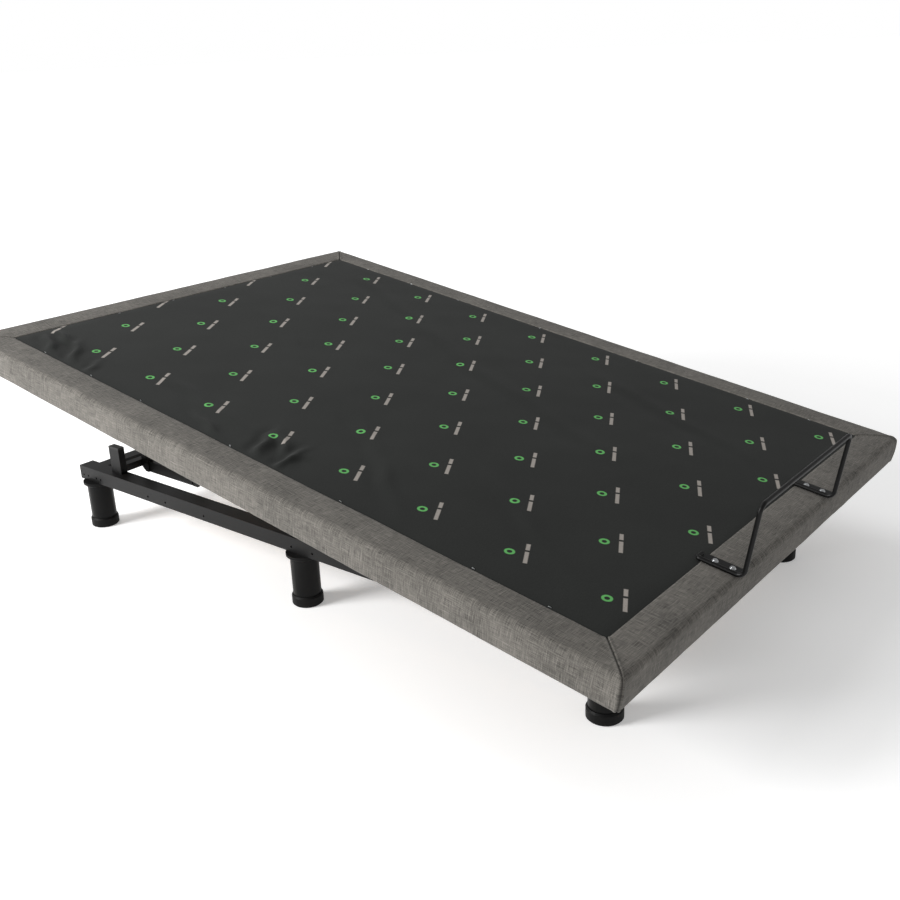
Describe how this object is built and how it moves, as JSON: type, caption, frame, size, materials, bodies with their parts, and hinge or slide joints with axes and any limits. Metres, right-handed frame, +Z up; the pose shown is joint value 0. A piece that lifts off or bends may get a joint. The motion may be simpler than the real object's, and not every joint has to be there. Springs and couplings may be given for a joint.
{
  "type": "adjustable bed base",
  "caption": "Adjustable bed base with a padded tilting deck, folding head and leg panels, a mattress retainer bar and a steel frame on round legs.",
  "frame": {"origin": "on the floor, under the centre of the whole outline in plan, in the tilted rest pose", "axes": "+X across the bed, +Y from the foot end to the head end, +Z up"},
  "size_m": [1.4, 2.0249, 0.6134],
  "materials": {
    "black_steel": "satin powder coat",
    "bright_steel": "zinc plated",
    "black_plastic": "fine texture",
    "leg_black": "satin",
    "board": "raw plywood",
    "border_fabric": "linen look weave",
    "cover_fabric": "spunbond sheet",
    "roller": "moulded",
    "rubber_pad": "moulded"
  },
  "bodies": {
    "base": {"side_rails": "black_steel", "rail_plugs": "black_plastic", "cross_tubes": "black_steel", "upper_cross_tube": "black_steel", "rest_posts": "black_steel", "post_pads": "rubber_pad", "inner_posts": "black_steel", "inner_beams": "black_steel", "gusset_arms": "black_steel", "leg_tubes": "leg_black", "leg_collars": "black_plastic", "foot_caps": "black_plastic", "tilt_brackets": "black_steel", "tilt_pins": "bright_steel", "tube_saddles": "black_steel", "tilt_motor_bracket": "black_steel", "control_box": "black_plastic", "power_box": "black_plastic", "tilt_motor": "black_plastic"},
    "tilt_deck": {"sub_frame": "black_steel", "tilt_lugs": "black_steel", "keel_plates": "black_steel", "deck_motor_brackets": "black_steel", "seat_frame": "black_steel", "seat_board": "board", "seat_border": "border_fabric", "seat_cover": "cover_fabric", "fold_pins": "bright_steel", "head_motor": "black_plastic", "thigh_motor": "black_plastic"},
    "head_panel": {"head_frame": "black_steel", "head_board": "board", "head_border": "border_fabric", "head_cover": "cover_fabric"},
    "thigh_panel": {"thigh_frame": "black_steel", "thigh_board": "board", "thigh_border": "border_fabric", "thigh_cover": "cover_fabric", "knee_pins": "bright_steel"},
    "calf_panel": {"calf_frame": "black_steel", "calf_board": "board", "calf_border": "border_fabric", "calf_cover": "cover_fabric", "retainer_bar": "black_steel", "retainer_brackets": "black_steel", "retainer_screws": "bright_steel"},
    "tilt_lift": {"tilt_torque_tube": "black_steel", "tilt_arms": "black_steel", "tilt_roller_pins": "bright_steel"},
    "tilt_wheels": {"tilt_rollers": "roller"},
    "tilt_push": {"tilt_rod": "bright_steel"},
    "head_lift_gear": {"head_torque_tube": "black_steel", "head_arms": "black_steel"},
    "head_wheels": {"head_rollers": "roller"},
    "head_push": {"head_rod": "bright_steel"},
    "thigh_lift_gear": {"thigh_torque_tube": "black_steel", "thigh_arms": "black_steel"},
    "thigh_wheels": {"thigh_rollers": "roller"},
    "thigh_push": {"thigh_rod": "bright_steel"},
    "calf_stay": {"calf_stays": "black_steel"}
  },
  "joints": [
    {"name": "deck_tilt", "type": "hinge", "parent": "base", "child": "tilt_deck", "pos_m": [0, -0.77261, 0.225], "axis": [1, 0, 0], "range_deg": [-9.4, 0]},
    {"name": "head_raise", "type": "hinge", "parent": "tilt_deck", "child": "head_panel", "pos_m": [0, 0.2346, 0.46655], "axis": [1, 0, 0], "range_deg": [0, 60]},
    {"name": "thigh_raise", "type": "hinge", "parent": "tilt_deck", "child": "thigh_panel", "pos_m": [0, -0.06137, 0.41756], "axis": [-1, 0, 0], "range_deg": [0, 40]},
    {"name": "calf_fold", "type": "hinge", "parent": "thigh_panel", "child": "calf_panel", "pos_m": [0, -0.43627, 0.35549], "axis": [1, 0, 0], "range_deg": [0, 54]},
    {"name": "tilt_arm_turn", "type": "hinge", "parent": "base", "child": "tilt_lift", "pos_m": [0, 0.08739, 0.165], "axis": [1, 0, 0], "range_deg": [-29.17, 0]},
    {"name": "tilt_wheel_roll", "type": "hinge", "parent": "tilt_lift", "child": "tilt_wheels", "pos_m": [0, 0.42509, 0.43119], "axis": [1, 0, 0], "range_deg": [0, 192.47]},
    {"name": "tilt_rod_push", "type": "slide", "parent": "base", "child": "tilt_push", "axis": [0, 1, 0], "range_m": [0, 0.03022]},
    {"name": "head_arm_turn", "type": "hinge", "parent": "tilt_deck", "child": "head_lift_gear", "pos_m": [0, 0.24012, 0.43321], "axis": [1, 0, 0], "range_deg": [0, 57.23]},
    {"name": "head_wheel_roll", "type": "hinge", "parent": "head_lift_gear", "child": "head_wheels", "pos_m": [0, 0.58542, 0.49037], "axis": [1, 0, 0], "range_deg": [-97.26, 0]},
    {"name": "head_rod_push", "type": "slide", "parent": "tilt_deck", "child": "head_push", "axis": [0, 0.9866, 0.1633], "range_m": [0, 0.05747]},
    {"name": "thigh_arm_turn", "type": "hinge", "parent": "tilt_deck", "child": "thigh_lift_gear", "pos_m": [0, -0.05585, 0.38421], "axis": [-1, 0, 0], "range_deg": [0, 38.19]},
    {"name": "thigh_wheel_roll", "type": "hinge", "parent": "thigh_lift_gear", "child": "thigh_wheels", "pos_m": [0, -0.3025, 0.34338], "axis": [-1, 0, 0], "range_deg": [-71.83, 0]},
    {"name": "thigh_rod_push", "type": "slide", "parent": "tilt_deck", "child": "thigh_push", "axis": [0, -0.9866, -0.1633], "range_m": [0, 0.03925]},
    {"name": "calf_stay_turn", "type": "hinge", "parent": "tilt_deck", "child": "calf_stay", "pos_m": [0, -0.47891, 0.31802], "axis": [-1, 0, 0], "range_deg": [0, 59.37]}
  ],
  "couplings": [
    {"joint": "calf_fold", "follows": "thigh_raise", "ratio": 1.35},
    {"joint": "tilt_arm_turn", "follows": "deck_tilt", "ratio": 3.1036},
    {"joint": "tilt_wheel_roll", "follows": "deck_tilt", "ratio": -20.475},
    {"joint": "tilt_rod_push", "follows": "deck_tilt", "m_per_rad": -0.18421},
    {"joint": "head_arm_turn", "follows": "head_raise", "ratio": 0.95387},
    {"joint": "head_wheel_roll", "follows": "head_raise", "ratio": -1.6211},
    {"joint": "head_rod_push", "follows": "head_raise", "m_per_rad": 0.054882},
    {"joint": "thigh_arm_turn", "follows": "thigh_raise", "ratio": 0.95469},
    {"joint": "thigh_wheel_roll", "follows": "thigh_raise", "ratio": -1.7958},
    {"joint": "thigh_rod_push", "follows": "thigh_raise", "m_per_rad": 0.056227},
    {"joint": "calf_stay_turn", "follows": "thigh_raise", "ratio": 1.4842}
  ]
}
